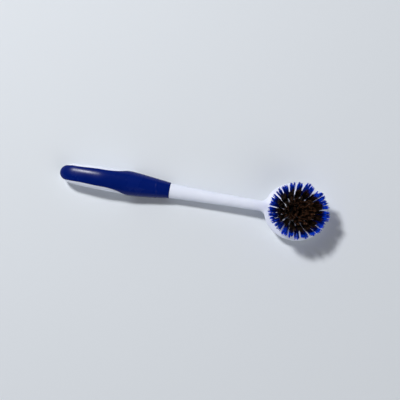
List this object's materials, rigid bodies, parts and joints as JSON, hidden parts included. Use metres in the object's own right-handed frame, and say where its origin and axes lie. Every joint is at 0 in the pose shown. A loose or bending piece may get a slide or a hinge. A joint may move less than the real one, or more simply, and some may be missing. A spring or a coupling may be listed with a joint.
{
  "type": "pot brush",
  "caption": "Round-headed pot brush with a white handle, navy soft grip, blue outer tufts and dark inner tufts.",
  "frame": {"origin": "on the table, under the middle of the brush's box", "axes": "+X along the handle from tail to head, +Z the way the bristles stand, Y across"},
  "size_m": [0.2632, 0.0555, 0.039],
  "materials": {
    "white_polypropylene": "satin",
    "navy_soft_plastic": "matt",
    "blue_filament": "satin",
    "dark_filament": "satin",
    "anchor_wire": "bright"
  },
  "bodies": {
    "root": {"handle_core": "white_polypropylene", "soft_grip": "navy_soft_plastic", "dark_centre_tufts": "dark_filament", "dark_middle_tufts": "dark_filament", "dark_outer_tufts": "dark_filament", "blue_ring_tufts": "blue_filament", "tuft_anchor_01": "anchor_wire", "tuft_anchor_02": "anchor_wire", "tuft_anchor_03": "anchor_wire", "tuft_anchor_04": "anchor_wire", "tuft_anchor_05": "anchor_wire", "tuft_anchor_06": "anchor_wire", "tuft_anchor_07": "anchor_wire", "tuft_anchor_08": "anchor_wire", "tuft_anchor_09": "anchor_wire", "tuft_anchor_10": "anchor_wire", "tuft_anchor_11": "anchor_wire", "tuft_anchor_12": "anchor_wire", "tuft_anchor_13": "anchor_wire", "tuft_anchor_14": "anchor_wire", "tuft_anchor_15": "anchor_wire", "tuft_anchor_16": "anchor_wire", "tuft_anchor_17": "anchor_wire", "tuft_anchor_18": "anchor_wire", "tuft_anchor_19": "anchor_wire", "tuft_anchor_20": "anchor_wire", "tuft_anchor_21": "anchor_wire", "tuft_anchor_22": "anchor_wire", "tuft_anchor_23": "anchor_wire", "tuft_anchor_24": "anchor_wire", "tuft_anchor_25": "anchor_wire", "tuft_anchor_26": "anchor_wire", "tuft_anchor_27": "anchor_wire", "tuft_anchor_28": "anchor_wire", "tuft_anchor_29": "anchor_wire", "tuft_anchor_30": "anchor_wire", "tuft_anchor_31": "anchor_wire", "tuft_anchor_32": "anchor_wire", "tuft_anchor_33": "anchor_wire", "tuft_anchor_34": "anchor_wire", "tuft_anchor_35": "anchor_wire", "tuft_anchor_36": "anchor_wire", "tuft_anchor_37": "anchor_wire", "tuft_anchor_38": "anchor_wire", "tuft_anchor_39": "anchor_wire", "tuft_anchor_40": "anchor_wire", "tuft_anchor_41": "anchor_wire", "tuft_anchor_42": "anchor_wire", "tuft_anchor_43": "anchor_wire", "tuft_anchor_44": "anchor_wire", "tuft_anchor_45": "anchor_wire", "tuft_anchor_46": "anchor_wire", "tuft_anchor_47": "anchor_wire", "tuft_anchor_48": "anchor_wire", "tuft_anchor_49": "anchor_wire", "tuft_anchor_50": "anchor_wire", "tuft_anchor_51": "anchor_wire", "tuft_anchor_52": "anchor_wire", "tuft_anchor_53": "anchor_wire", "tuft_anchor_54": "anchor_wire"}
  },
  "joints": []
}
